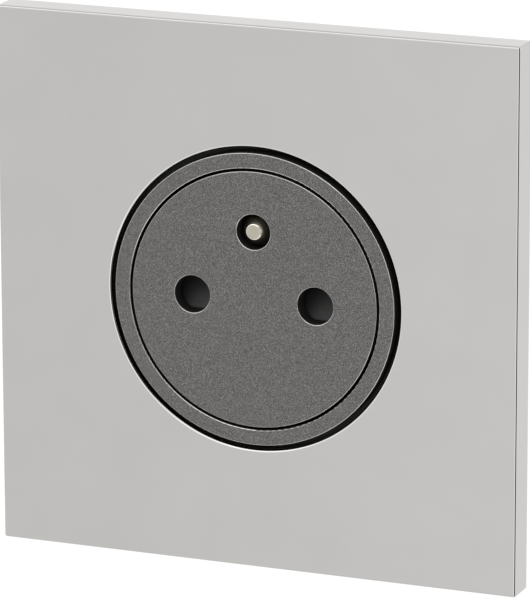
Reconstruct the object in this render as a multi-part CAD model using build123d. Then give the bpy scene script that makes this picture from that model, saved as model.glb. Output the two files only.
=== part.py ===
from build123d import *
from math import cos, radians, sin
import os

# Flush wall socket with a fixed earth pin and a sprung face that the plug pushes into the wall.
# Millimetres. The origin is the socket's centre in the wall's surface, the front faces -Y and +Z is up.
# Depths are values of Y: the front of the cover plate is negative, what lies in the wall is positive.

# Plug pattern
PIN_SPACING = 19.0
PIN_HOLE_DIAMETER = 5.5
EARTH_OFFSET = 10.0
EARTH_PIN_DIAMETER = 4.8
EARTH_HOLE_CLEARANCE = 0.2
EARTH_TIP_SETBACK = 0.1
FACE_TRAVEL = 15.0

# Front, seen from the room
FACE_DIAMETER = 37.7
FACE_JOINT = 0.42
FACE_THICKNESS = 2.4
FACE_PROUD = 0.35
RING_WIDTH = 2.26
RING_PLATE_GAP = 0.82
TRIM_EDGE_ROUND = 0.15

# Cover plate
PLATE_DEPTH = 4.6
PLATE_SKIN = 1.5
PLATE_WALL = 1.6
PLATE_EDGE_ROUND = 0.33
PLATE_HOLE_ROUND = 0.3
PLATE_MARGIN = 2.9
STUD_DIAMETER = 2.4
STUD_INSET = 7.4

# Support frame and its slots for the screws of the wall box
BOX_SCREW_SPACING = 60.0
SLOT_LENGTH = 8.0
SLOT_WIDTH = 4.4
SLOT_BORDER = 1.5
FRAME_THICKNESS = 1.2
FRAME_CORNER_RADIUS = 4.0
FRAME_OPENING_CLEARANCE = 0.3

# Plate carrier
SCREW_HEAD_DIAMETER = 9.4
CARRIER_OPENING_CLEARANCE = 0.4
LEG_WIDTH = 4.4
LEG_THICKNESS = 1.8
LEG_STANDOFF = 2.9
LEG_LENGTH = 2.6
BARB_DEPTH = 0.8
BARB_BITE = 0.5

# Well body
FLANGE_THICKNESS = 1.0
FLANGE_WIDTH = 1.9
SLEEVE_WALL = 2.33
GROOVE_DEPTH = 1.1
GUIDE_WIDTH = 6.0
SPIGOT_LENGTH = 2.0
CATCH_BITE = 0.8
CATCH_LENGTH = 4.0
CATCH_WIDTH = 6.0
ROOT_BITE = 0.6
HOOK_WIDTH = 7.0
HOOK_THICKNESS = 1.45
HOOK_ROOT_LENGTH = 8.0
HOOK_REACH = 6.2
HOOK_NOSE_LENGTH = 1.8
HOOK_NOSE_DEPTH = 1.15
RIB_HEIGHT = 0.8
RIB_WIDTH = 1.4

# Face carriage and shutter
CARRIAGE_SETBACK = 0.1
CARRIAGE_WALL = 1.2
CARRIAGE_FLOOR = 1.4
CHAMBER_DEPTH = 4.0
CARRIAGE_HOLE_DIAMETER = 6.0
RAIL_THICKNESS = 1.0
POST_DIAMETER = 2.2
POST_LENGTH = 2.6
BOSS_WALL = 0.75
BOSS_INSET = 2.15
PEG_LENGTH = 1.5
SHUTTER_HEIGHT = 7.2
SHUTTER_OVERLAP = 0.25
SHUTTER_SIDE = 0.75
SHUTTER_PLATE = 1.2
RAMP_TIP = 0.8
RAMP_HEEL = 1.6
SHUTTER_PEG_DIAMETER = 1.8
SHUTTER_PEG_LENGTH = 1.4
SHUTTER_SEAT_WIDTH = 4.8
SHUTTER_SEAT_HEIGHT = 2.6

# Springs
RETURN_WIRE = 0.8
RETURN_TURNS = 6.5
SHUTTER_SPRING_DIAMETER = 3.0
SHUTTER_WIRE = 0.35
SHUTTER_TURNS = 8.0
SHUTTER_SEAT_INSET = 0.95
SPRING_RUN_CLEARANCE = 0.4
SPRING_TUBE_WALL = 0.8
SPRING_TUBE_GAP = 0.7

# Rear housing and contact cover
COVER_THICKNESS = 1.5
COVER_CHAMFER = 0.3
HOUSING_WALL = 1.6
HOUSING_FLOOR = 2.0
HOUSING_EDGE = 0.8
LEDGE_WIDTH = 7.0
LEDGE_BITE = 1.0
LEDGE_THICKNESS = 1.2
BARRIER_THICKNESS = 1.0
BARRIER_GAP = 0.8
CHEEK_THICKNESS = 1.0
ENTRY_HOLE_DIAMETER = 4.6
ENTRY_CHAMFER = 0.6
ENTRY_COLLAR = 1.0
REAR_RIM = 2.0
REAR_RECESS = 0.6
DRIVER_HOLE_DIAMETER = 5.2

# Contacts and terminals
CONTACT_LENGTH = 12.7
CONTACT_WIDTH = 6.0
CONTACT_THICKNESS = 0.8
CONTACT_BASE_GAP = 6.0
CONTACT_WAIST_GAP = 4.4
CONTACT_MOUTH_GAP = 6.0
CONTACT_WAIST_DEPTH = 3.2
CONTACT_BEND = 1.2
STRIP_RADIUS = 3.6
WIRE_BORE_DIAMETER = 3.6
BLOCK_WIDTH = 6.4
BLOCK_LEAST_DEPTH = 6.5
BLOCK_HEIGHT = 9.0
BLOCK_CHAMFER = 0.3
BLOCK_RIVET_WALL = 0.7
SCREW_DIAMETER = 3.0
SCREW_HEAD = 4.4
SCREW_HEAD_HEIGHT = 1.4
SCREW_SLOT_WIDTH = 0.7
SCREW_SLOT_DEPTH = 0.7
TERMINAL_GAP = 0.6
EARTH_FLANGE_DIAMETER = 5.6
EARTH_FLANGE_LENGTH = 2.0
EARTH_RIVET_DIAMETER = 3.0
EARTH_TIP_FLAT = 2.2
EARTH_TIP_LENGTH = 1.7
EARTH_TIP_ROUND = 0.25
EARTH_SHOULDER_ROUND = 2.5

# Clearances
SLIDE_CLEARANCE = 0.3
SHUTTER_CLEARANCE = 0.2
STOP_CLEARANCE = 0.1
FIT_CLEARANCE = 0.05
LOOSE_CLEARANCE = 0.15

# Angles, from +X towards +Z
GUIDE_ANGLES = (90, 210, 330)
HOOK_ANGLES = (30, 150, 270)
CATCH_ANGLES = (45, 135, 225, 315)
LEG_ANGLES = (45, 135, 225, 315)
RIB_ANGLES = (0, 90, 180, 240, 300)
SLOT_ANGLES = (0, 90, 180, 270)
POST_ANGLES = (50, 130, 240, 300)
EARTH_ANGLE = 90
LINE_ANGLE = 315
NEUTRAL_ANGLE = 225
TERMINAL_ANGLES = (EARTH_ANGLE, LINE_ANGLE, NEUTRAL_ANGLE)
SIDES = (-1, 1)

# Radii, from the face outwards
face_radius = FACE_DIAMETER / 2
well_radius = face_radius + FACE_JOINT
groove_radius = well_radius + GROOVE_DEPTH
ring_radius = well_radius + RING_WIDTH
plate_hole_radius = ring_radius + RING_PLATE_GAP
sleeve_radius = well_radius + SLEEVE_WALL
terminal_inner = EARTH_OFFSET + EARTH_FLANGE_DIAMETER / 2 + STOP_CLEARANCE
housing_least_radius = terminal_inner + BLOCK_LEAST_DEPTH + TERMINAL_GAP
housing_radius = max(sleeve_radius - HOUSING_WALL, housing_least_radius)
housing_outer_radius = housing_radius + HOUSING_WALL
hook_inner_radius = housing_outer_radius + LOOSE_CLEARANCE
hook_radius = hook_inner_radius + HOOK_THICKNESS
frame_opening_radius = hook_radius + FRAME_OPENING_CLEARANCE
flange_radius = frame_opening_radius + FLANGE_WIDTH
leg_inner = flange_radius + LEG_STANDOFF - LEG_THICKNESS / 2
leg_outer = leg_inner + LEG_THICKNESS
carriage_radius = face_radius - CARRIAGE_SETBACK
chamber_radius = carriage_radius - CARRIAGE_WALL

# Square outlines
frame_side = BOX_SCREW_SPACING + SLOT_LENGTH + 2 * SLOT_BORDER
plate_inner_side = frame_side + 2 * PLATE_MARGIN
plate_side = plate_inner_side + 2 * PLATE_WALL
carrier_side = plate_inner_side - 2 * STOP_CLEARANCE
stud_place = plate_inner_side / 2 - STUD_INSET

# Depths, from the room into the wall
plate_front = -PLATE_DEPTH
carrier_front = plate_front + PLATE_SKIN
frame_front = -FRAME_THICKNESS
flange_front = frame_front - FLANGE_THICKNESS
face_front = plate_front - FACE_PROUD
face_rear = face_front + FACE_THICKNESS
chamber_rear = face_rear + CHAMBER_DEPTH
carriage_rear = chamber_rear + CARRIAGE_FLOOR
spigot_rear = flange_front + SPIGOT_LENGTH
lug_front = spigot_rear + STOP_CLEARANCE
cover_front = carriage_rear + FACE_TRAVEL + SLIDE_CLEARANCE
cover_rear = cover_front + COVER_THICKNESS
contact_front = cover_rear + SLIDE_CLEARANCE
floor_front = contact_front + CONTACT_LENGTH
strip_front = floor_front - CONTACT_THICKNESS
housing_rear = floor_front + HOUSING_FLOOR
block_front = strip_front - BLOCK_HEIGHT
screw_depth = block_front + BLOCK_HEIGHT / 2
hook_nose_rear = cover_front + HOOK_REACH + HOOK_NOSE_LENGTH

# Pins, contacts and terminals across the socket
pin_x = PIN_SPACING / 2
pin_hole_radius = PIN_HOLE_DIAMETER / 2
carriage_hole_radius = CARRIAGE_HOLE_DIAMETER / 2
earth_hole_radius = EARTH_PIN_DIAMETER / 2 + EARTH_HOLE_CLEARANCE
contact_half_height = CONTACT_BASE_GAP / 2 + CONTACT_THICKNESS
barrier_z = contact_half_height + BARRIER_GAP
terminal_outer = housing_radius - TERMINAL_GAP
terminal_radius = (terminal_inner + terminal_outer) / 2
wire_radius = WIRE_BORE_DIAMETER / 2
rivet_radius = wire_radius + BLOCK_RIVET_WALL

# Return spring, between the two contacts
spring_tube_radius = pin_x - CONTACT_WIDTH / 2 - SPRING_TUBE_GAP
spring_bore_radius = spring_tube_radius - SPRING_TUBE_WALL
return_radius = spring_bore_radius - SPRING_RUN_CLEARANCE
peg_radius = return_radius - RETURN_WIRE - SLIDE_CLEARANCE
spring_z = barrier_z + BARRIER_THICKNESS / 2 - spring_tube_radius

# Shutter
shutter_half_width = pin_x + pin_hole_radius + SHUTTER_SIDE
shutter_top = pin_hole_radius + SHUTTER_OVERLAP
shutter_bottom = shutter_top - SHUTTER_HEIGHT
shutter_front = face_rear + SHUTTER_CLEARANCE
shutter_rear = chamber_rear - SHUTTER_CLEARANCE
shutter_travel = shutter_top + carriage_hole_radius + SHUTTER_CLEARANCE
shutter_seat_z = SHUTTER_SEAT_INSET - chamber_radius
shutter_spring_depth = shutter_rear - SHUTTER_SPRING_DIAMETER / 2 - SHUTTER_CLEARANCE


def room_plane(depth):
    """Plane at a depth that faces the room, with its own axes along +X and +Z."""
    return Plane(origin=(0, depth, 0), x_dir=(1, 0, 0), z_dir=(0, -1, 0))


def slab(outline, front, rear):
    """Solid of an outline drawn in X and Z, between two depths."""
    return extrude(room_plane(rear) * outline, amount=rear - front)


def disc(radius, front, rear, centre=(0, 0)):
    """Round solid between two depths."""
    return slab(Pos(*centre) * Circle(radius), front, rear)


def turned(profile):
    """Solid turned about the Y axis from a closed profile of (radius, depth) points."""
    return revolve(make_face(Polyline(*profile, close=True)), axis=Axis.Y)


def turn_to(angle):
    """Placement of a piece that is drawn along +X, at an angle towards +Z."""
    return Rot(0, -angle, 0)


def at_angle(radius, angle):
    """Point in X and Z at a radius and an angle."""
    return (radius * cos(radians(angle)), radius * sin(radians(angle)))


def prism(profile, width, angle=0):
    """Solid with a profile of (radius, depth) points, as wide as given, at an angle."""
    return turn_to(angle) * extrude(make_face(Polyline(*profile, close=True)), amount=width / 2, both=True)


def bar(inner, outer, width, front, rear, angle=0):
    """Straight bar along a radius, between two depths."""
    return prism([(inner, front), (outer, front), (outer, rear), (inner, rear)], width, angle)


def radial_pin(radius, inner, outer, depth, angle):
    """Cylinder along a radius, at a depth."""
    base = Plane(origin=(inner, depth, 0), z_dir=(1, 0, 0))
    return turn_to(angle) * extrude(base * Circle(radius), amount=outer - inner)


def coil(radius, wire, turns, length):
    """Compression spring along +Z from the origin, with its overall radius and length."""
    wire_centre = radius - wire / 2
    rise = length - wire
    path = Helix(pitch=rise / turns, height=rise, radius=wire_centre)
    section = Plane(origin=path @ 0, z_dir=path % 0) * Circle(wire / 2)
    return Pos(0, 0, wire / 2) * sweep(section, path=path)


def stud_places():
    """Centres of the plate's four studs in X and Z."""
    return [(x * stud_place, z * stud_place) for x in SIDES for z in SIDES]


def at_pins(make):
    """Shapes made at both pin places, joined."""
    return make(-pin_x) + make(pin_x)


# Pieces seen from the room


def make_cover_plate():
    """Square plate with a hollow back, a round opening and four studs for the carrier."""
    plate = slab(Rectangle(plate_side, plate_side), plate_front, 0)
    front_edges = plate.edges().group_by(Axis.Y)[0]
    corner_edges = plate.edges().filter_by(Axis.Y)
    plate = fillet(front_edges + corner_edges, PLATE_EDGE_ROUND)
    plate -= slab(Rectangle(plate_inner_side, plate_inner_side), carrier_front, 0)
    plate -= disc(plate_hole_radius, plate_front, carrier_front)
    hole_edges = plate.edges().filter_by(GeomType.CIRCLE).group_by(Axis.Y)[0]
    plate = fillet(hole_edges.group_by(SortBy.RADIUS)[-1], PLATE_HOLE_ROUND)
    for x, z in stud_places():
        plate += disc(STUD_DIAMETER / 2, carrier_front, frame_front, (x, z))
    return plate


def make_trim_ring():
    """Bezel that stands on the well body's flange, with a spigot that stops the face."""
    spigot_radius = groove_radius - FIT_CLEARANCE
    ring = turned([
        (well_radius, face_front),
        (ring_radius, face_front),
        (ring_radius, flange_front),
        (spigot_radius, flange_front),
        (spigot_radius, spigot_rear),
        (well_radius, spigot_rear),
    ])
    return fillet(ring.edges().group_by(Axis.Y)[0], TRIM_EDGE_ROUND)


def make_socket_face():
    """Disc with the three holes, and posts that press into the carriage."""
    face = disc(face_radius, face_front, face_rear)
    face -= at_pins(lambda x: disc(pin_hole_radius, face_front, face_rear, (x, 0)))
    face -= disc(earth_hole_radius, face_front, face_rear, (0, EARTH_OFFSET))
    face = fillet(face.edges().group_by(Axis.Y)[0], TRIM_EDGE_ROUND)
    for angle in POST_ANGLES:
        post_centre = at_angle(chamber_radius - BOSS_INSET, angle)
        face += disc(POST_DIAMETER / 2, face_rear, face_rear + POST_LENGTH, post_centre)
    return face


# Pieces that fasten the socket to the wall box


def make_plate_carrier():
    """Moulded frame inside the plate, with windows for the screw heads and four barbed legs."""
    slot_run = SLOT_LENGTH - SLOT_WIDTH
    window_end = (BOX_SCREW_SPACING + slot_run) / 2
    carrier = slab(Rectangle(carrier_side, carrier_side), carrier_front, frame_front)
    carrier -= disc(flange_radius + CARRIER_OPENING_CLEARANCE, carrier_front, frame_front)
    for angle in SLOT_ANGLES:
        carrier -= bar(flange_radius, window_end, SCREW_HEAD_DIAMETER, carrier_front, frame_front, angle)
        carrier -= disc(SCREW_HEAD_DIAMETER / 2, carrier_front, frame_front, at_angle(window_end, angle))
    for x, z in stud_places():
        carrier -= disc(STUD_DIAMETER / 2 + FIT_CLEARANCE, carrier_front, frame_front, (x, z))
    for angle in LEG_ANGLES:
        carrier += bar(leg_inner, leg_outer, LEG_WIDTH, frame_front, LEG_LENGTH, angle)
        carrier += prism([
            (leg_outer, STOP_CLEARANCE),
            (leg_outer + BARB_DEPTH, STOP_CLEARANCE),
            (leg_outer, LEG_LENGTH),
        ], LEG_WIDTH, angle)
    return carrier


def make_support_frame():
    """Stamped steel frame with four slots on the wall box's screw circle."""
    frame = slab(RectangleRounded(frame_side, frame_side, FRAME_CORNER_RADIUS), frame_front, 0)
    frame -= disc(frame_opening_radius, frame_front, 0)
    slot = SlotOverall(SLOT_LENGTH, SLOT_WIDTH)
    for angle in SLOT_ANGLES:
        frame -= slab(Rot(0, 0, angle) * Pos(BOX_SCREW_SPACING / 2, 0) * slot, frame_front, 0)
    hole_inner = leg_inner - BARB_BITE - LOOSE_CLEARANCE
    hole_outer = leg_outer + BARB_DEPTH - BARB_BITE
    for angle in LEG_ANGLES:
        frame -= bar(hole_inner, hole_outer, LEG_WIDTH + 2 * LOOSE_CLEARANCE, frame_front, 0, angle)
    return frame


# Sleeve in the wall


def make_well_body():
    """Flange and sleeve for the face, with catches behind the frame and hooks for the housing."""
    shoulder_radius = frame_opening_radius - LOOSE_CLEARANCE
    root_radius = sleeve_radius - ROOT_BITE
    root_front = cover_front - HOOK_ROOT_LENGTH
    nose_front = cover_front + HOOK_REACH
    nose_radius = hook_inner_radius - HOOK_NOSE_DEPTH
    body = disc(flange_radius, flange_front, frame_front)
    body += disc(shoulder_radius, frame_front, 0)
    body += disc(sleeve_radius, 0, cover_front)
    for angle in CATCH_ANGLES:
        body += prism([
            (root_radius, LOOSE_CLEARANCE),
            (frame_opening_radius + CATCH_BITE, LOOSE_CLEARANCE),
            (frame_opening_radius + CATCH_BITE, LOOSE_CLEARANCE + CATCH_BITE),
            (root_radius, LOOSE_CLEARANCE + CATCH_LENGTH),
        ], CATCH_WIDTH, angle)
    for angle in RIB_ANGLES:
        body += bar(root_radius, sleeve_radius + RIB_HEIGHT, RIB_WIDTH, 0, cover_front, angle)
    for angle in HOOK_ANGLES:
        body += bar(root_radius, hook_radius, HOOK_WIDTH, root_front, cover_front, angle)
        body += bar(hook_inner_radius, hook_radius, HOOK_WIDTH, cover_front, hook_nose_rear, angle)
        body += prism([
            (hook_inner_radius, nose_front),
            (nose_radius, nose_front),
            (nose_radius, nose_front + LOOSE_CLEARANCE),
            (hook_inner_radius, hook_nose_rear),
        ], HOOK_WIDTH, angle)
    body -= disc(groove_radius, flange_front, spigot_rear)
    body -= disc(well_radius, spigot_rear, cover_front)
    groove_width = GUIDE_WIDTH + 2 * SLIDE_CLEARANCE
    for angle in GUIDE_ANGLES:
        groove = bar(0, sleeve_radius, groove_width, spigot_rear, cover_front, angle)
        body -= groove & disc(groove_radius, spigot_rear, cover_front)
    return body


def make_contact_cover():
    """Insulating plate that closes the housing, with holes for the pins, the earth pin and the spring."""
    cover = disc(housing_radius - STOP_CLEARANCE, cover_front, cover_rear)
    cover -= at_pins(lambda x: disc(carriage_hole_radius, cover_front, cover_rear, (x, 0)))
    cover -= disc(earth_hole_radius, cover_front, cover_rear, (0, EARTH_OFFSET))
    cover -= disc(spring_bore_radius, cover_front, cover_rear, (0, spring_z))
    return chamfer(cover.edges().group_by(Axis.Y)[0], COVER_CHAMFER)


# Moving face


def make_face_carriage():
    """Cup behind the face, with the shutter's chamber, three guide lugs and the return spring's seat."""
    lug_radius = groove_radius - SLIDE_CLEARANCE
    earth_bore_radius = earth_hole_radius + LOOSE_CLEARANCE
    boss_radius = POST_DIAMETER / 2 + BOSS_WALL
    seat_radius = -shutter_seat_z
    rail_middle = shutter_half_width + SHUTTER_CLEARANCE + RAIL_THICKNESS / 2
    rail_top = shutter_top + RAIL_THICKNESS
    carriage = disc(carriage_radius, face_rear, carriage_rear)
    carriage -= disc(chamber_radius, face_rear, chamber_rear)

    fittings = bar(seat_radius, carriage_radius, SHUTTER_SEAT_WIDTH, face_rear, chamber_rear, 270)
    fittings += disc(earth_bore_radius + RAIL_THICKNESS, face_rear, chamber_rear, (0, EARTH_OFFSET))
    for side in SIDES:
        rail = Rectangle(RAIL_THICKNESS, carriage_radius + rail_top, align=(Align.CENTER, Align.MAX))
        fittings += slab(Pos(side * rail_middle, rail_top) * rail, face_rear, chamber_rear)
    for angle in POST_ANGLES:
        fittings += disc(boss_radius, face_rear, chamber_rear, at_angle(chamber_radius - BOSS_INSET, angle))
    carriage += fittings & disc(carriage_radius, face_rear, chamber_rear)
    peg_front = seat_radius - SHUTTER_PEG_LENGTH
    carriage += radial_pin(SHUTTER_PEG_DIAMETER / 2, peg_front, seat_radius, shutter_spring_depth, 270)
    carriage += disc(peg_radius, carriage_rear, carriage_rear + PEG_LENGTH, (0, spring_z))
    for angle in GUIDE_ANGLES:
        lug = bar(chamber_radius, groove_radius, GUIDE_WIDTH, lug_front, carriage_rear, angle)
        carriage += lug & disc(lug_radius, lug_front, carriage_rear)

    carriage -= at_pins(lambda x: disc(carriage_hole_radius, chamber_rear, carriage_rear, (x, 0)))
    carriage -= disc(earth_bore_radius, face_rear, carriage_rear, (0, EARTH_OFFSET))
    post_hole_radius = POST_DIAMETER / 2 + FIT_CLEARANCE
    post_hole_rear = face_rear + POST_LENGTH + SLIDE_CLEARANCE
    for angle in POST_ANGLES:
        post_centre = at_angle(chamber_radius - BOSS_INSET, angle)
        carriage -= disc(post_hole_radius, face_rear, post_hole_rear, post_centre)
    return carriage


def make_shutter():
    """Sliding bar that covers both pin holes, with a ramp at each that a plug's pins push down."""
    height_middle = (shutter_top + shutter_bottom) / 2
    outline = Pos(0, height_middle) * Rectangle(2 * shutter_half_width, SHUTTER_HEIGHT)
    shutter = slab(outline, shutter_rear - SHUTTER_PLATE, shutter_rear)
    ramp_width = 2 * (pin_hole_radius + SHUTTER_SIDE)
    ramp_profile = Polyline(
        (shutter_bottom, shutter_rear),
        (shutter_top, shutter_rear),
        (shutter_top, shutter_rear - RAMP_TIP),
        (shutter_bottom + RAMP_HEEL, shutter_front),
        (shutter_bottom, shutter_front),
        close=True,
    )
    for side in SIDES:
        ramp = upright_plane(side * pin_x) * make_face(ramp_profile)
        shutter += extrude(ramp, amount=ramp_width / 2, both=True)
    seat = Rectangle(SHUTTER_SEAT_WIDTH, SHUTTER_SEAT_HEIGHT, align=(Align.CENTER, Align.MIN))
    shutter += slab(Pos(0, shutter_bottom) * seat, shutter_front, shutter_rear)
    peg_end = SHUTTER_PEG_LENGTH - shutter_bottom
    shutter += radial_pin(SHUTTER_PEG_DIAMETER / 2, -shutter_bottom, peg_end, shutter_spring_depth, 270)
    return shutter


def make_shutter_spring():
    """Small compression spring that lifts the shutter."""
    length = shutter_bottom - shutter_seat_z - 2 * FIT_CLEARANCE
    spring = coil(SHUTTER_SPRING_DIAMETER / 2, SHUTTER_WIRE, SHUTTER_TURNS, length)
    return Pos(0, shutter_spring_depth, shutter_seat_z + FIT_CLEARANCE) * spring


def make_return_spring():
    """Compression spring from the housing's floor to the carriage, which pushes the face out."""
    length = floor_front - carriage_rear - 2 * FIT_CLEARANCE
    spring = coil(return_radius, RETURN_WIRE, RETURN_TURNS, length)
    return Pos(0, carriage_rear + FIT_CLEARANCE, spring_z) * Rot(-90, 0, 0) * spring


# Contacts, terminals and their housing


def upright_plane(x):
    """Plane across the socket at x, with its own axes along +Z and +Y."""
    return Plane(origin=(x, 0, 0), x_dir=(0, 0, 1), z_dir=(-1, 0, 0))


def pole_x(angle):
    """Place across the socket of the pin contact whose terminal is at an angle."""
    return pin_x if cos(radians(angle)) > 0 else -pin_x


def strip_outline(angle):
    """Outline of the flat strip from a contact or the earth pin to its terminal."""
    end = Pos(*at_angle(terminal_radius, angle)) * Circle(STRIP_RADIUS)
    if angle == EARTH_ANGLE:
        start = Pos(0, EARTH_OFFSET) * Circle(STRIP_RADIUS)
    else:
        start = Pos(pole_x(angle), 0) * Rectangle(CONTACT_WIDTH, 2 * contact_half_height)
    return make_hull(start.edges() + end.edges())


def make_strip(angle):
    """Flat strip on the housing's floor, with the hole for the terminal's rivet."""
    strip = slab(strip_outline(angle), strip_front, floor_front)
    rivet_hole_radius = rivet_radius + FIT_CLEARANCE
    return strip - disc(rivet_hole_radius, strip_front, floor_front, at_angle(terminal_radius, angle))


def make_pin_contact(angle):
    """Sprung brass clip that grips a plug's pin between two leaves, with its strip."""
    half_base = (CONTACT_BASE_GAP + CONTACT_THICKNESS) / 2
    half_waist = (CONTACT_WAIST_GAP + CONTACT_THICKNESS) / 2
    half_mouth = (CONTACT_MOUTH_GAP + CONTACT_THICKNESS) / 2
    waist_depth = contact_front + CONTACT_WAIST_DEPTH
    base_depth = strip_front + CONTACT_THICKNESS / 2
    bent = FilletPolyline(
        (half_mouth, contact_front),
        (half_waist, waist_depth),
        (half_base, base_depth),
        (-half_base, base_depth),
        (-half_waist, waist_depth),
        (-half_mouth, contact_front),
        radius=CONTACT_BEND,
    )
    section = upright_plane(pole_x(angle)) * trace(bent, CONTACT_THICKNESS)
    return extrude(section, amount=CONTACT_WIDTH / 2, both=True) + make_strip(angle)


def make_earth_pin():
    """Pin that stands through the face, with a blunt cone, a flange and a rivet end in the earth strip."""
    pin_radius = EARTH_PIN_DIAMETER / 2
    tip = face_front + EARTH_TIP_SETBACK
    shoulder = tip + EARTH_TIP_LENGTH
    pin = turned([
        (0, tip),
        (EARTH_TIP_FLAT / 2, tip),
        (pin_radius, shoulder),
        (pin_radius, strip_front - EARTH_FLANGE_LENGTH),
        (EARTH_FLANGE_DIAMETER / 2, strip_front - EARTH_FLANGE_LENGTH),
        (EARTH_FLANGE_DIAMETER / 2, strip_front),
        (EARTH_RIVET_DIAMETER / 2, strip_front),
        (EARTH_RIVET_DIAMETER / 2, floor_front),
        (0, floor_front),
    ])
    circles = pin.edges().filter_by(GeomType.CIRCLE).sort_by(Axis.Y)
    pin = fillet(circles[1], EARTH_SHOULDER_ROUND)
    tip_edge = pin.edges().filter_by(GeomType.CIRCLE).sort_by(Axis.Y)[0]
    pin = fillet(tip_edge, EARTH_TIP_ROUND)
    return Pos(0, 0, EARTH_OFFSET) * pin


def make_earth_strip():
    """Flat strip from the earth pin to its terminal."""
    hole_radius = EARTH_RIVET_DIAMETER / 2 + FIT_CLEARANCE
    return make_strip(EARTH_ANGLE) - disc(hole_radius, strip_front, floor_front, (0, EARTH_OFFSET))


def make_terminal(angle):
    """Brass block riveted on a strip, with the wire's bore and the screw's hole."""
    centre = at_angle(terminal_radius, angle)
    block = bar(terminal_inner, terminal_outer, BLOCK_WIDTH, block_front, strip_front, angle)
    block = chamfer(block.edges(), BLOCK_CHAMFER)
    block += disc(rivet_radius, strip_front, floor_front, centre)
    block -= disc(wire_radius, block_front, floor_front, centre)
    screw_hole_radius = SCREW_DIAMETER / 2 + FIT_CLEARANCE
    return block - radial_pin(screw_hole_radius, terminal_radius, terminal_outer, screw_depth, angle)


def make_terminal_screw(angle):
    """Screw with a slotted head that clamps the wire from the side."""
    tip = terminal_radius + wire_radius + STOP_CLEARANCE
    head_top = housing_radius + SCREW_HEAD_HEIGHT
    screw = radial_pin(SCREW_DIAMETER / 2, tip, housing_radius, screw_depth, angle)
    screw += radial_pin(SCREW_HEAD / 2, housing_radius, head_top, screw_depth, angle)
    slot_floor = head_top - SCREW_SLOT_DEPTH
    slot_front = screw_depth - SCREW_HEAD / 2
    slot_rear = screw_depth + SCREW_HEAD / 2
    return screw - bar(slot_floor, head_top, SCREW_SLOT_WIDTH, slot_front, slot_rear, angle)


def make_rear_housing():
    """Moulded cup for contacts and terminals, with barriers between them and the spring's tube."""
    nose_front = cover_front + HOOK_REACH
    cheek_middle = (BLOCK_WIDTH + CHEEK_THICKNESS) / 2 + LOOSE_CLEARANCE
    cut_inner = housing_radius - LEDGE_BITE
    housing = disc(housing_outer_radius, cover_front, housing_rear)
    housing = chamfer(housing.edges().group_by(Axis.Y)[-1], HOUSING_EDGE)
    housing -= disc(housing_radius, cover_front, floor_front)

    walls = disc(spring_tube_radius, cover_rear, floor_front, (0, spring_z))
    across = Rectangle(2 * housing_outer_radius, BARRIER_THICKNESS, align=(Align.CENTER, Align.MIN))
    walls += slab(Pos(0, barrier_z) * across, contact_front, floor_front)
    down = Rectangle(BARRIER_THICKNESS, housing_outer_radius, align=(Align.CENTER, Align.MAX))
    walls += slab(Pos(0, spring_z) * down, contact_front, floor_front)
    for angle in TERMINAL_ANGLES:
        for side in SIDES:
            cheek = Pos(0, 0, side * cheek_middle) * bar(
                terminal_inner, housing_outer_radius, CHEEK_THICKNESS, block_front, floor_front
            )
            walls += turn_to(angle) * cheek
    for angle in HOOK_ANGLES:
        ledge_rear = cover_rear + LEDGE_THICKNESS
        walls += bar(cut_inner, housing_outer_radius, LEDGE_WIDTH, cover_rear, ledge_rear, angle)
    for angle in TERMINAL_ANGLES:
        channel = offset(strip_outline(angle), amount=SLIDE_CLEARANCE)
        walls -= slab(channel, strip_front - SLIDE_CLEARANCE, floor_front)
    housing += walls & disc(housing_radius + STOP_CLEARANCE, cover_rear, floor_front)

    housing -= disc(spring_bore_radius, cover_rear, floor_front, (0, spring_z))
    entry_radius = ENTRY_HOLE_DIAMETER / 2
    recess_front = housing_rear - REAR_RECESS
    recess = disc(housing_outer_radius - REAR_RIM, recess_front, housing_rear)
    recess -= disc(spring_tube_radius, recess_front, housing_rear, (0, spring_z))
    for angle in TERMINAL_ANGLES:
        collar_radius = entry_radius + ENTRY_CHAMFER + ENTRY_COLLAR
        recess -= disc(collar_radius, recess_front, housing_rear, at_angle(terminal_radius, angle))
    housing -= recess
    funnel = turned([
        (0, housing_rear - ENTRY_CHAMFER),
        (entry_radius, housing_rear - ENTRY_CHAMFER),
        (entry_radius + ENTRY_CHAMFER, housing_rear),
        (0, housing_rear),
    ])
    for angle in TERMINAL_ANGLES:
        entry_x, entry_z = at_angle(terminal_radius, angle)
        housing -= disc(entry_radius, floor_front, housing_rear, (entry_x, entry_z))
        housing -= Pos(entry_x, 0, entry_z) * funnel
        housing -= radial_pin(DRIVER_HOLE_DIAMETER / 2, cut_inner, hook_radius, screw_depth, angle)
    window_width = HOOK_WIDTH + 2 * LOOSE_CLEARANCE
    window_front = nose_front - LOOSE_CLEARANCE
    window_rear = hook_nose_rear + LOOSE_CLEARANCE
    for angle in HOOK_ANGLES:
        housing -= bar(cut_inner, hook_radius, window_width, window_front, window_rear, angle)
    return housing


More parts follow.
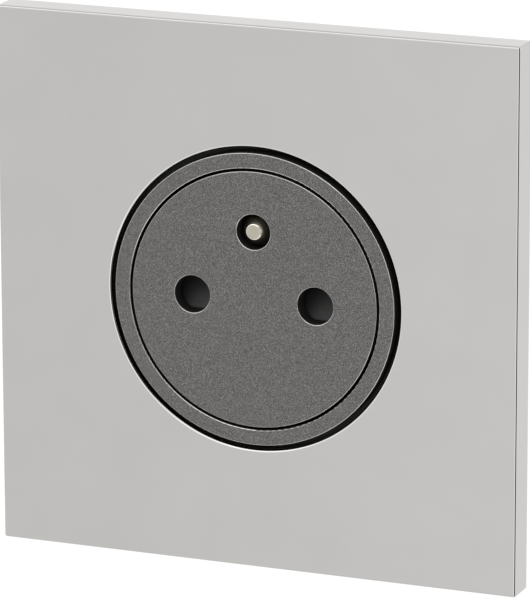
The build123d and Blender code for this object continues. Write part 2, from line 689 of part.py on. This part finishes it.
def make_nodes():
    """Every piece by name."""
    return {
        "cover_plate": make_cover_plate(),
        "trim_ring": make_trim_ring(),
        "socket_face": make_socket_face(),
        "plate_carrier": make_plate_carrier(),
        "support_frame": make_support_frame(),
        "well_body": make_well_body(),
        "contact_cover": make_contact_cover(),
        "face_carriage": make_face_carriage(),
        "shutter": make_shutter(),
        "shutter_spring": make_shutter_spring(),
        "return_spring": make_return_spring(),
        "line_contact": make_pin_contact(LINE_ANGLE),
        "neutral_contact": make_pin_contact(NEUTRAL_ANGLE),
        "earth_pin": make_earth_pin(),
        "earth_strip": make_earth_strip(),
        "line_terminal": make_terminal(LINE_ANGLE),
        "neutral_terminal": make_terminal(NEUTRAL_ANGLE),
        "earth_terminal": make_terminal(EARTH_ANGLE),
        "line_terminal_screw": make_terminal_screw(LINE_ANGLE),
        "neutral_terminal_screw": make_terminal_screw(NEUTRAL_ANGLE),
        "earth_terminal_screw": make_terminal_screw(EARTH_ANGLE),
        "rear_housing": make_rear_housing(),
    }


os.makedirs("parts", exist_ok=True)
for name, piece in make_nodes().items():
    export_step(piece, f"parts/{name}.step")
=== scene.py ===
from math import cos, hypot, pi, radians, sin

import bmesh
import bpy
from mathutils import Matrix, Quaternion, Vector


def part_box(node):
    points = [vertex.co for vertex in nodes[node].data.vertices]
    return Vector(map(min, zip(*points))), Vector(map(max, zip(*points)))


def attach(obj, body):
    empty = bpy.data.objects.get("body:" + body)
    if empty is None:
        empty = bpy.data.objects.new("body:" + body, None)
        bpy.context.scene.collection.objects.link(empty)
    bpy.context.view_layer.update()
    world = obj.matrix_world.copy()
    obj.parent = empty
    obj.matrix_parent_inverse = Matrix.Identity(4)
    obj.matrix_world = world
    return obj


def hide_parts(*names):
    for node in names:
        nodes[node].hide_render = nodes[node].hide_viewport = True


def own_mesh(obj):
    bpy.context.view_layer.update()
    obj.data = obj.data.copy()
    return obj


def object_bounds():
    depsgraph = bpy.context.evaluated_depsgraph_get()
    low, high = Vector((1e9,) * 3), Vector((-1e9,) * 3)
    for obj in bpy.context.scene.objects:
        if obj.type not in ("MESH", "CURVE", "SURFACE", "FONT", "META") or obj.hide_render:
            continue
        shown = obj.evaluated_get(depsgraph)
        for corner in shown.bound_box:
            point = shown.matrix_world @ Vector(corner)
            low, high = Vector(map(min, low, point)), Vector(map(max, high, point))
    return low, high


# A flush wall socket, dressed. Lengths are in metres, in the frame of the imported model:
# the wall's surface is y = 0, the front faces -Y and +Z is up.

MM = 0.001

# Camera, at the photograph's angle, with its angles in degrees
CAMERA_AZIMUTH = 22.344
CAMERA_ELEVATION = 14.709
CAMERA_ROLL = -0.171
CAMERA_DISTANCE = 769.1 * MM
CAMERA_TARGET = Vector((1.66 * MM, -4.6 * MM, 0.11 * MM))
CAMERA_LENS = 323.0
CAMERA_NEAR = 0.01
CAMERA_FAR = 50.0
SENSOR_WIDTH = 36.0

# Floor
FLOOR_DROP = 60 * MM
FLOOR_SIZE = 6.0
FLOOR_GREY = 0.94
FLOOR_ROUGHNESS = 0.9
FLOOR_GLOW = 0.08

# Lamp
LAMP_PLACE = (-0.6, -0.9, 0.9)
LAMP_WIDTH = 0.8
LAMP_HEIGHT = 0.6
LAMP_POWER = 1.2

# What the chrome mirrors: levels by turn from straight ahead towards the right, in degrees, in
# three bands of elevation, the level below them, and the elevations between which they blend
BRIGHTEST_LEVEL = 2.0
LOW_ROOM = (
    (-180, 1.0), (-40, 1.0), (-24, 0.993), (-18, 1.075), (-6, 1.4), (16, 1.4),
    (26, 0.02), (70, 0.02), (76, 1.6), (88, 1.2), (138, 1.2), (150, 1.04),
)
MIDDLE_ROOM = (
    (-150, 1.06), (-62, 1.0), (-46, 1.18), (-24, 1.16), (-12, 1.5), (0, 1.3), (16, 1.1),
    (28, 0.02), (62, 0.02), (70, 2.0), (78, 1.9), (88, 1.25), (135, 1.2), (150, 1.06),
)
HIGH_ROOM = (
    (-150, 0.9), (-100, 1.0), (-22, 0.8), (20, 1.0), (50, 1.5), (120, 1.3), (150, 0.9),
)
FLOOR_LEVEL = 1.0
FLOOR_BLEND = ((-34.0, 0.0), (-25.0, 1.0))
LOW_BLEND = ((-10.0, 0.0), (-4.0, 1.0))
HIGH_BLEND = ((40.0, 0.0), (52.0, 1.0))

# Shared by the finishes: the noise values between which one look passes into another, the
# detail of the noise, the depth of a bump and the length over which a mask fades
CLOUD_LOW = 0.3
CLOUD_HIGH = 0.7
NOISE_DETAIL = 2.0
METAL_DETAIL = 3.0
BUMP_DEPTH = 0.01 * MM
MASK_BLEND = 0.02 * MM

# Chrome plating
CHROME_DULL = (0.520, 0.510, 0.499)
CHROME_CLEAR = (0.534, 0.523, 0.512)
CHROME_CLOUD = 9 * MM
CHROME_SMOOTH = 0.03
CHROME_HAZY = 0.05
CHROME_HAZE = 2.5 * MM
CHROME_WAVE = 12 * MM
CHROME_WAVE_STRENGTH = 0.1
CHROME_WAVE_DEPTH = 0.004 * MM

# Charcoal finish: flake paint on the flat front, a painted highlight on its rounded edges, black
# elsewhere
FLAKE_SIZE = 0.05 * MM
FLAKE_STOPS = (
    (0.0, (0.038, 0.0367, 0.0355)),
    (0.7, (0.121, 0.117, 0.113)),
    (1.0, (0.355, 0.343, 0.332)),
)
FLAKE_ROUGHNESS = ((0.0, 0.50), (1.0, 0.38))
FLAKE_METALLIC = 0.3
EDGE_HIGHLIGHT_COLOUR = (0.70, 0.685, 0.66)
EDGE_HIGHLIGHT_ROUGHNESS = 0.25
EDGE_HIGHLIGHT_METALLIC = 1.0
SIDE_COLOUR = (0.016, 0.0155, 0.015)
SIDE_ROUGHNESS = 0.6
SIDE_METALLIC = 0.0
CHARCOAL_GLOSS = 0.35
CHARCOAL_GRAIN = 0.3 * MM
CHARCOAL_BUMP = 0.15
PAINT_DEPTH = 0.12 * MM
EDGE_DEPTH = 0.01 * MM
EDGE_BLEND = 0.01 * MM

# Moulded plastic
BLACK_COLOUR = (0.012, 0.012, 0.012)
GREY_COLOUR = (0.015, 0.0145, 0.014)
WHITE_COLOUR = (0.72, 0.71, 0.68)
PLASTIC_GLOSS = 0.5
PLASTIC_CLOUD = 6 * MM
PLASTIC_CLOUD_LOW = 0.35
PLASTIC_CLOUD_HIGH = 0.65
PLASTIC_SHADE = 0.96
PLASTIC_GRAIN = 0.35 * MM
PLASTIC_UNEVENNESS = 0.06
PLASTIC_BUMP = 0.3

# Rolled or turned metal, with its grain stretched along Y
ZINC_COLOUR = (0.62, 0.63, 0.64)
STEEL_COLOUR = (0.5, 0.5, 0.5)
BRASS_COLOUR = (0.72, 0.52, 0.25)
METAL_GRAIN = (0.2 * MM, 3 * MM, 0.2 * MM)
METAL_SHADE = 0.82
METAL_ROUGHER = 0.08
METAL_SMOOTHER = 0.05
METAL_BUMP = 0.15

# Nickel of the earth pin, with depths behind its tip: a painted highlight on the tip's edge,
# painted shade further back
NICKEL_DULL = (0.42, 0.40, 0.33)
NICKEL_CLEAR = (0.50, 0.47, 0.39)
NICKEL_EDGE_HIGHLIGHT = (0.95, 0.93, 0.86)
NICKEL_SHADED_BEHIND = (0.36, 0.34, 0.27)
NICKEL_CLOUD = 1.5 * MM
NICKEL_HAZY = 0.26
NICKEL_SMOOTH = 0.18
NICKEL_BEHIND_ROUGHNESS = 0.36
HIGHLIGHT_START = 0.010 * MM
HIGHLIGHT_START_BLEND = 0.004 * MM
HIGHLIGHT_END = 0.10 * MM

# Skin over the rim of the opening, with its chrome made brighter than the plate's: a painted
# highlight
RIM_SKIN = 0.012 * MM
RIM_SEARCH = 1.0 * MM
RIM_TOUCH = 0.01 * MM
RIM_STEPS = 720
RIM_ARC_STEPS = 12
RIM_PAINTED_HIGHLIGHT = 1.28

# Springs
RETURN_WIRE = 0.8 * MM
RETURN_TURNS = 5.5
SHUTTER_WIRE = 0.35 * MM
SHUTTER_TURNS = 7
CLOSED_TURNS = 1.0
CLOSED_PITCH = 1.02
COIL_SIDES = 12
COIL_STEPS = 32

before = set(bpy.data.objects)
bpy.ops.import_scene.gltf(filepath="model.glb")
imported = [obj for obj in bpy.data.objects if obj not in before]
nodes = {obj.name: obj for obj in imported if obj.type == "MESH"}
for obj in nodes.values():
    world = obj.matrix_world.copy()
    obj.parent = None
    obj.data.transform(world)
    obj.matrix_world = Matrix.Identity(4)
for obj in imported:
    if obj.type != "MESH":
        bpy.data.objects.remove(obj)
cad_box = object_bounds()


# Node helpers


def new_material(name):
    """New material, with its node tree and its Principled shader."""
    material = bpy.data.materials.new(name)
    material.use_nodes = True
    tree = material.node_tree
    shader = tree.nodes["Principled BSDF"]
    return material, tree, shader


def add_node(tree, kind, **values):
    """Node of a kind with some of its properties or input sockets set."""
    node = tree.nodes.new(kind)
    for key, value in values.items():
        if key in node.inputs:
            node.inputs[key].default_value = value
        else:
            setattr(node, key, value)
    return node


def object_noise(tree, size, detail=NOISE_DETAIL):
    """Noise that is fixed to the object, with the size of its grains given in metres."""
    place = tree.nodes.new("ShaderNodeTexCoord")
    noise = add_node(tree, "ShaderNodeTexNoise", Scale=1 / size, Detail=detail)
    tree.links.new(place.outputs["Object"], noise.inputs["Vector"])
    return noise.outputs["Fac"]


def ramp(tree, factor, stops):
    """Colour ramp over a factor, from a list of (position, grey or colour)."""
    node = tree.nodes.new("ShaderNodeValToRGB")
    elements = node.color_ramp.elements
    while len(elements) < len(stops):
        elements.new(0.5)
    for element, (position, colour) in zip(elements, stops):
        element.position = position
        rgb = (colour,) * 3 if isinstance(colour, float) else colour
        element.color = (*rgb, 1.0)
    tree.links.new(factor, node.inputs["Fac"])
    return node.outputs["Color"]


def clouded(tree, noise, first, second):
    """Ramp over a noise from one grey or colour to another."""
    return ramp(tree, noise, [(CLOUD_LOW, first), (CLOUD_HIGH, second)])


def map_range(tree, value, low, high):
    """A value mapped from a range to 0 and 1."""
    node = add_node(tree, "ShaderNodeMapRange")
    node.inputs["From Min"].default_value = low
    node.inputs["From Max"].default_value = high
    tree.links.new(value, node.inputs["Value"])
    return node.outputs["Result"]


def front_mask(tree, depth, blend=MASK_BLEND):
    """1 in front of a depth in the object and 0 behind it."""
    place = tree.nodes.new("ShaderNodeTexCoord")
    split = tree.nodes.new("ShaderNodeSeparateXYZ")
    tree.links.new(place.outputs["Object"], split.inputs["Vector"])
    return map_range(tree, split.outputs["Y"], depth + blend, depth)


def blend_colour(tree, factor, first, second):
    """Mix of two looks, each a grey, a colour or the output of a node."""
    mix = add_node(tree, "ShaderNodeMix", data_type="RGBA")
    for socket, value in (("A", first), ("B", second)):
        target = [item for item in mix.inputs if item.name == socket and item.type == "RGBA"][0]
        if isinstance(value, float):
            target.default_value = (value, value, value, 1.0)
        elif isinstance(value, tuple):
            target.default_value = (*value, 1.0)
        else:
            tree.links.new(value, target)
    tree.links.new(factor, mix.inputs["Factor"])
    return [item for item in mix.outputs if item.type == "RGBA"][0]


def bump(tree, shader, height, strength, distance=BUMP_DEPTH):
    """Bump from a height, with its depth in metres."""
    node = add_node(tree, "ShaderNodeBump", Strength=strength, Distance=distance)
    tree.links.new(height, node.inputs["Height"])
    tree.links.new(node.outputs["Normal"], shader.inputs["Normal"])


def shaded(colour, share):
    """A colour multiplied by a share."""
    return tuple(share * value for value in colour)


# Materials


def make_chrome(name, painted_brightening=1.0):
    """Mirror plating with a barely wavy surface; a share above 1 brightens its colour into a
    painted highlight.
    """
    material, tree, shader = new_material(name)
    shader.inputs["Metallic"].default_value = 1.0
    cloud = object_noise(tree, CHROME_CLOUD)
    # A share above 1 lifts the plating's colour: painted highlight.
    base = clouded(tree, cloud, shaded(CHROME_DULL, painted_brightening), shaded(CHROME_CLEAR, painted_brightening))
    tree.links.new(base, shader.inputs["Base Color"])
    rough = clouded(tree, object_noise(tree, CHROME_HAZE), CHROME_SMOOTH, CHROME_HAZY)
    tree.links.new(rough, shader.inputs["Roughness"])
    wave = object_noise(tree, CHROME_WAVE)
    bump(tree, shader, wave, CHROME_WAVE_STRENGTH, CHROME_WAVE_DEPTH)
    return material


def flake_cells(tree):
    """Random level for each flake of the metallic paint."""
    place = tree.nodes.new("ShaderNodeTexCoord")
    cells = add_node(tree, "ShaderNodeTexVoronoi", feature="F1", Scale=1 / FLAKE_SIZE)
    split = tree.nodes.new("ShaderNodeSeparateColor")
    tree.links.new(place.outputs["Object"], cells.inputs["Vector"])
    tree.links.new(cells.outputs["Color"], split.inputs["Color"])
    return split.outputs["Red"]


def make_charcoal():
    """Charcoal flake paint on the front, a painted highlight on its rounded edges, black on every
    other side.
    """
    material, tree, shader = new_material("charcoal_finish")
    front_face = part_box("trim_ring")[0].y
    front = front_mask(tree, front_face + PAINT_DEPTH)
    flat = front_mask(tree, front_face + EDGE_DEPTH, EDGE_BLEND)

    def layered(paint, edge, side):
        """A look for the flat front, its rounded edges and the sides."""
        return blend_colour(tree, front, side, blend_colour(tree, flat, edge, paint))

    flakes = flake_cells(tree)
    # The rounded edges get a light metallic colour: a painted highlight.
    base = layered(ramp(tree, flakes, FLAKE_STOPS), EDGE_HIGHLIGHT_COLOUR, SIDE_COLOUR)
    tree.links.new(base, shader.inputs["Base Color"])
    rough = layered(ramp(tree, flakes, FLAKE_ROUGHNESS), EDGE_HIGHLIGHT_ROUGHNESS, SIDE_ROUGHNESS)
    tree.links.new(rough, shader.inputs["Roughness"])
    metallic = layered(FLAKE_METALLIC, EDGE_HIGHLIGHT_METALLIC, SIDE_METALLIC)
    tree.links.new(metallic, shader.inputs["Metallic"])
    shader.inputs["Specular IOR Level"].default_value = CHARCOAL_GLOSS
    bump(tree, shader, object_noise(tree, CHARCOAL_GRAIN), CHARCOAL_BUMP)
    return material


def make_plastic(name, colour, roughness, gloss=PLASTIC_GLOSS):
    """Moulded plastic with a fine spark-eroded grain."""
    material, tree, shader = new_material(name)
    shader.inputs["Specular IOR Level"].default_value = gloss
    cloud_stops = [(PLASTIC_CLOUD_LOW, shaded(colour, PLASTIC_SHADE)), (PLASTIC_CLOUD_HIGH, colour)]
    base = ramp(tree, object_noise(tree, PLASTIC_CLOUD), cloud_stops)
    tree.links.new(base, shader.inputs["Base Color"])
    fine = object_noise(tree, PLASTIC_GRAIN)
    rough = clouded(tree, fine, roughness - PLASTIC_UNEVENNESS, roughness + PLASTIC_UNEVENNESS)
    tree.links.new(rough, shader.inputs["Roughness"])
    bump(tree, shader, fine, PLASTIC_BUMP)
    return material


def make_metal(name, colour, roughness):
    """Rolled or turned metal, with its grain stretched along one axis."""
    material, tree, shader = new_material(name)
    shader.inputs["Metallic"].default_value = 1.0
    place = tree.nodes.new("ShaderNodeTexCoord")
    stretch = tree.nodes.new("ShaderNodeMapping")
    stretch.inputs["Scale"].default_value = [1 / size for size in METAL_GRAIN]
    noise = add_node(tree, "ShaderNodeTexNoise", Scale=1.0, Detail=METAL_DETAIL)
    tree.links.new(place.outputs["Object"], stretch.inputs["Vector"])
    tree.links.new(stretch.outputs["Vector"], noise.inputs["Vector"])
    grain = noise.outputs["Fac"]
    base = clouded(tree, grain, shaded(colour, METAL_SHADE), colour)
    tree.links.new(base, shader.inputs["Base Color"])
    rough = clouded(tree, grain, roughness + METAL_ROUGHER, roughness - METAL_SMOOTHER)
    tree.links.new(rough, shader.inputs["Roughness"])
    bump(tree, shader, grain, METAL_BUMP)
    return material


def make_pin_nickel():
    """Turned nickel plating: a painted highlight on the edge of the tip, and painted shade on a
    rougher surface behind it.
    """
    material, tree, shader = new_material("nickel_brass")
    shader.inputs["Metallic"].default_value = 1.0
    tip_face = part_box("earth_pin")[0].y
    cloud = object_noise(tree, NICKEL_CLOUD, detail=METAL_DETAIL)
    tip = front_mask(tree, tip_face + HIGHLIGHT_START, HIGHLIGHT_START_BLEND)
    fore = front_mask(tree, tip_face + HIGHLIGHT_END)
    plain = clouded(tree, cloud, NICKEL_DULL, NICKEL_CLEAR)
    # The tip's edge gets a light colour: a painted highlight.
    highlighted = blend_colour(tree, tip, NICKEL_EDGE_HIGHLIGHT, plain)
    # Behind the tip the colour is darker: painted shade.
    base = blend_colour(tree, fore, NICKEL_SHADED_BEHIND, highlighted)
    tree.links.new(base, shader.inputs["Base Color"])
    fore_rough = clouded(tree, cloud, NICKEL_HAZY, NICKEL_SMOOTH)
    rough = blend_colour(tree, fore, NICKEL_BEHIND_ROUGHNESS, fore_rough)
    tree.links.new(rough, shader.inputs["Roughness"])
    return material


def dress(names, material):
    """Gives one material to CAD nodes."""
    for name in names:
        mesh = nodes[name].data
        mesh.materials.clear()
        mesh.materials.append(material)
        mesh.shade_smooth()


# Pieces that the scene adds


def add_piece(name, mesh):
    """Object in the scene, made from a finished mesh."""
    data = bpy.data.meshes.new(name)
    mesh.to_mesh(data)
    mesh.free()
    piece = bpy.data.objects.new(name, data)
    bpy.context.scene.collection.objects.link(piece)
    return piece


def rim_section():
    """Section of the skin as (radius, depth): its outer arc, then the arc's centre."""
    low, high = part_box("cover_plate")
    rim = [
        (hypot(vertex.co.x, vertex.co.z), vertex.co.y)
        for vertex in nodes["cover_plate"].data.vertices
        if vertex.co.y < low.y + RIM_SEARCH
        and hypot(vertex.co.x, vertex.co.z) < high.x - RIM_SEARCH
    ]
    hole_radius = min(radius for radius, depth in rim)
    rounding = max(depth for radius, depth in rim if radius < hole_radius + RIM_TOUCH) - low.y
    centre_radius = hole_radius + rounding
    centre_depth = low.y + rounding
    skin = rounding + RIM_SKIN
    section = []
    for i in range(RIM_ARC_STEPS + 1):
        tilt = pi / 2 * i / RIM_ARC_STEPS
        section.append((centre_radius - sin(tilt) * skin, centre_depth - cos(tilt) * skin))
    section.append((centre_radius, centre_depth))
    return section


def make_opening_rim(plating):
    """Plated skin over the rounded rim of the plate's opening, so that it mirrors evenly."""
    section = rim_section()
    mesh = bmesh.new()
    rings = []
    for i in range(RIM_STEPS):
        angle = 2 * pi * i / RIM_STEPS
        rings.append([
            mesh.verts.new((cos(angle) * radius, depth, sin(angle) * radius))
            for radius, depth in section
        ])
    for first, second in zip(rings, rings[1:] + rings[:1]):
        for k in range(len(section)):
            after = (k + 1) % len(section)
            face = mesh.faces.new((first[k], first[after], second[after], second[k]))
            face.smooth = k < RIM_ARC_STEPS
    bmesh.ops.recalc_face_normals(mesh, faces=mesh.faces)
    for edge in mesh.edges:
        edge.smooth = len({face.smooth for face in edge.link_faces}) == 1
    piece = add_piece("cover_plate_rim", mesh)
    piece.data.materials.append(plating)
    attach(piece, "housing")


def coil_mesh(name, start, axis, radius, wire, length, turns):
    """Compression spring with closed end coils, from a start point along a unit axis."""
    aim = Vector(axis).to_track_quat("Z", "Y").to_matrix()
    total = turns + 2 * CLOSED_TURNS
    end_rise = wire * CLOSED_PITCH
    pitch = (length - wire - 2 * end_rise * CLOSED_TURNS) / turns
    mesh = bmesh.new()
    rings = []
    count = int(total * COIL_STEPS)
    for i in range(count + 1):
        wound = total * i / count
        if wound < CLOSED_TURNS:
            height = wound * end_rise
        elif wound > total - CLOSED_TURNS:
            last_part = wound - total + CLOSED_TURNS
            height = CLOSED_TURNS * end_rise + turns * pitch + last_part * end_rise
        else:
            height = CLOSED_TURNS * end_rise + (wound - CLOSED_TURNS) * pitch
        angle = 2 * pi * wound
        out = Vector((cos(angle), sin(angle), 0))
        centre = out * (radius - wire / 2) + Vector((0, 0, height + wire / 2))
        ring = []
        for k in range(COIL_SIDES):
            side = 2 * pi * k / COIL_SIDES
            rise = Vector((0, 0, sin(side) * wire / 2))
            point = centre + out * (cos(side) * wire / 2) + rise
            ring.append(mesh.verts.new(Vector(start) + aim @ point))
        rings.append(ring)
    for first, second in zip(rings, rings[1:]):
        for k in range(COIL_SIDES):
            after = (k + 1) % COIL_SIDES
            mesh.faces.new((first[k], first[after], second[after], second[k]))
    mesh.faces.new(reversed(rings[0]))
    mesh.faces.new(rings[-1])
    bmesh.ops.recalc_face_normals(mesh, faces=mesh.faces)
    piece = add_piece(name, mesh)
    piece.data.shade_smooth()
    return piece


def make_springs(steel):
    """Both springs, each in the space of its solid."""

    low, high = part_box("return_spring")
    middle = (low + high) / 2
    piece = coil_mesh(
        "return_spring_coils", (middle.x, low.y, middle.z), (0, 1, 0),
        (high.x - low.x) / 2, RETURN_WIRE, high.y - low.y, RETURN_TURNS,
    )
    piece.data.materials.append(steel)
    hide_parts("return_spring")
    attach(piece, "housing")
    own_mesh(piece)

    low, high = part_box("shutter_spring")
    middle = (low + high) / 2
    piece = coil_mesh(
        "shutter_spring_coils", (middle.x, middle.y, low.z), (0, 0, 1),
        (high.x - low.x) / 2, SHUTTER_WIRE, high.z - low.z, SHUTTER_TURNS,
    )
    piece.data.materials.append(steel)
    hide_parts("shutter_spring")
    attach(piece, "face")
    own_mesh(piece)


# Studio


def make_camera():
    """Camera at the photograph's angle."""
    azimuth = radians(CAMERA_AZIMUTH)
    elevation = radians(CAMERA_ELEVATION)
    back = Vector((
        sin(azimuth) * cos(elevation),
        -cos(azimuth) * cos(elevation),
        sin(elevation),
    ))
    data = bpy.data.cameras.new("camera")
    data.lens = CAMERA_LENS
    data.sensor_width = SENSOR_WIDTH
    data.clip_start = CAMERA_NEAR
    data.clip_end = CAMERA_FAR
    camera = bpy.data.objects.new("camera", data)
    camera.location = CAMERA_TARGET + back * CAMERA_DISTANCE
    camera.rotation_mode = "QUATERNION"
    roll = Quaternion((0, 0, 1), radians(CAMERA_ROLL))
    camera.rotation_quaternion = (-back).to_track_quat("-Z", "Y") @ roll
    bpy.context.scene.collection.objects.link(camera)
    bpy.context.scene.camera = camera


def room_band(tree, around, levels):
    """Light of one band of elevation, from its levels by turn in degrees."""
    stops = [((degrees + 180) / 360, level / BRIGHTEST_LEVEL) for degrees, level in levels]
    return ramp(tree, around, stops)


def rise_mask(tree, upward, levels):
    """0 below and 1 above a blend between two elevations in degrees."""
    stops = [((degrees + 90) / 180, level) for degrees, level in levels]
    return ramp(tree, upward, stops)


def make_world():
    """White room: even for diffuse light, with soft boxes and a dark flag for mirrors only."""
    world = bpy.data.worlds.new("studio")
    world.use_nodes = True
    bpy.context.scene.world = world
    tree = world.node_tree
    tree.nodes.clear()
    output = tree.nodes.new("ShaderNodeOutputWorld")
    path = tree.nodes.new("ShaderNodeLightPath")
    plain = add_node(tree, "ShaderNodeBackground", Color=(1.0, 1.0, 1.0, 1.0), Strength=1.0)
    mirrored = add_node(tree, "ShaderNodeBackground", Strength=BRIGHTEST_LEVEL)
    mix = tree.nodes.new("ShaderNodeMixShader")

    # Turn about Z of a direction, 0 towards -Y and growing towards +X, and its elevation
    place = tree.nodes.new("ShaderNodeTexCoord")
    split = tree.nodes.new("ShaderNodeSeparateXYZ")
    tree.links.new(place.outputs["Generated"], split.inputs["Vector"])
    flip = add_node(tree, "ShaderNodeMath", operation="MULTIPLY")
    flip.inputs[1].default_value = -1.0
    tree.links.new(split.outputs["Y"], flip.inputs[0])
    turn = add_node(tree, "ShaderNodeMath", operation="ARCTAN2")
    tree.links.new(split.outputs["X"], turn.inputs[0])
    tree.links.new(flip.outputs[0], turn.inputs[1])
    around = map_range(tree, turn.outputs[0], -pi, pi)
    rise = add_node(tree, "ShaderNodeMath", operation="ARCSINE")
    tree.links.new(split.outputs["Z"], rise.inputs[0])
    upward = map_range(tree, rise.outputs[0], -pi / 2, pi / 2)

    low_room = room_band(tree, around, LOW_ROOM)
    middle_room = room_band(tree, around, MIDDLE_ROOM)
    high_room = room_band(tree, around, HIGH_ROOM)
    walls = blend_colour(tree, rise_mask(tree, upward, LOW_BLEND), low_room, middle_room)
    floor_light = FLOOR_LEVEL / BRIGHTEST_LEVEL
    lower = blend_colour(tree, rise_mask(tree, upward, FLOOR_BLEND), floor_light, walls)
    room = blend_colour(tree, rise_mask(tree, upward, HIGH_BLEND), lower, high_room)
    tree.links.new(room, mirrored.inputs["Color"])
    tree.links.new(path.outputs["Is Glossy Ray"], mix.inputs["Fac"])
    tree.links.new(plain.outputs[0], mix.inputs[1])
    tree.links.new(mirrored.outputs[0], mix.inputs[2])
    tree.links.new(mix.outputs[0], output.inputs["Surface"])


def make_floor():
    """Pale floor below the socket, left out of reflections."""
    height = cad_box[0].z - FLOOR_DROP
    bpy.ops.mesh.primitive_plane_add(size=FLOOR_SIZE, location=(0, 0, height))
    floor = bpy.context.object
    floor.name = "floor"
    material, tree, shader = new_material("floor")
    shader.inputs["Base Color"].default_value = (FLOOR_GREY, FLOOR_GREY, FLOOR_GREY, 1.0)
    shader.inputs["Roughness"].default_value = FLOOR_ROUGHNESS
    shader.inputs["Specular IOR Level"].default_value = 0.0
    shader.inputs["Emission Color"].default_value = (1.0, 1.0, 1.0, 1.0)
    shader.inputs["Emission Strength"].default_value = FLOOR_GLOW
    floor.data.materials.append(material)
    floor.visible_glossy = False


def make_lamp():
    """Wide soft lamp from above on the left."""
    data = bpy.data.lights.new("soft_lamp", "AREA")
    data.shape = "RECTANGLE"
    data.size = LAMP_WIDTH
    data.size_y = LAMP_HEIGHT
    data.energy = LAMP_POWER
    lamp = bpy.data.objects.new("soft_lamp", data)
    lamp.location = LAMP_PLACE
    lamp.rotation_mode = "QUATERNION"
    lamp.rotation_quaternion = (-lamp.location).to_track_quat("-Z", "Y")
    bpy.context.scene.collection.objects.link(lamp)


chrome = make_chrome("chrome_plating")
# The rim's chrome is brighter than the plate's: a painted highlight.
rim_chrome_painted_highlight = make_chrome("chrome_rim_painted_highlight", painted_brightening=RIM_PAINTED_HIGHLIGHT)
charcoal = make_charcoal()
black = make_plastic("black_plastic", BLACK_COLOUR, roughness=0.45, gloss=0.2)
grey = make_plastic("grey_plastic", GREY_COLOUR, roughness=0.5)
white = make_plastic("white_plastic", WHITE_COLOUR, roughness=0.45)
zinc = make_metal("zinc_steel", ZINC_COLOUR, roughness=0.38)
steel = make_metal("spring_steel", STEEL_COLOUR, roughness=0.25)
brass = make_metal("brass", BRASS_COLOUR, roughness=0.28)
nickel = make_pin_nickel()

dress(["cover_plate"], chrome)
dress(["trim_ring", "socket_face"], charcoal)
dress(["plate_carrier", "well_body", "face_carriage"], black)
dress(["contact_cover", "shutter"], grey)
dress(["rear_housing"], white)
dress(["support_frame"], zinc)
dress(["line_terminal_screw", "neutral_terminal_screw", "earth_terminal_screw"], zinc)
dress(["line_contact", "neutral_contact", "earth_strip"], brass)
dress(["line_terminal", "neutral_terminal", "earth_terminal"], brass)
dress(["earth_pin"], nickel)
make_opening_rim(rim_chrome_painted_highlight)
make_springs(steel)

make_camera()
make_world()
make_floor()
make_lamp()
bpy.context.scene.view_settings.view_transform = "Standard"
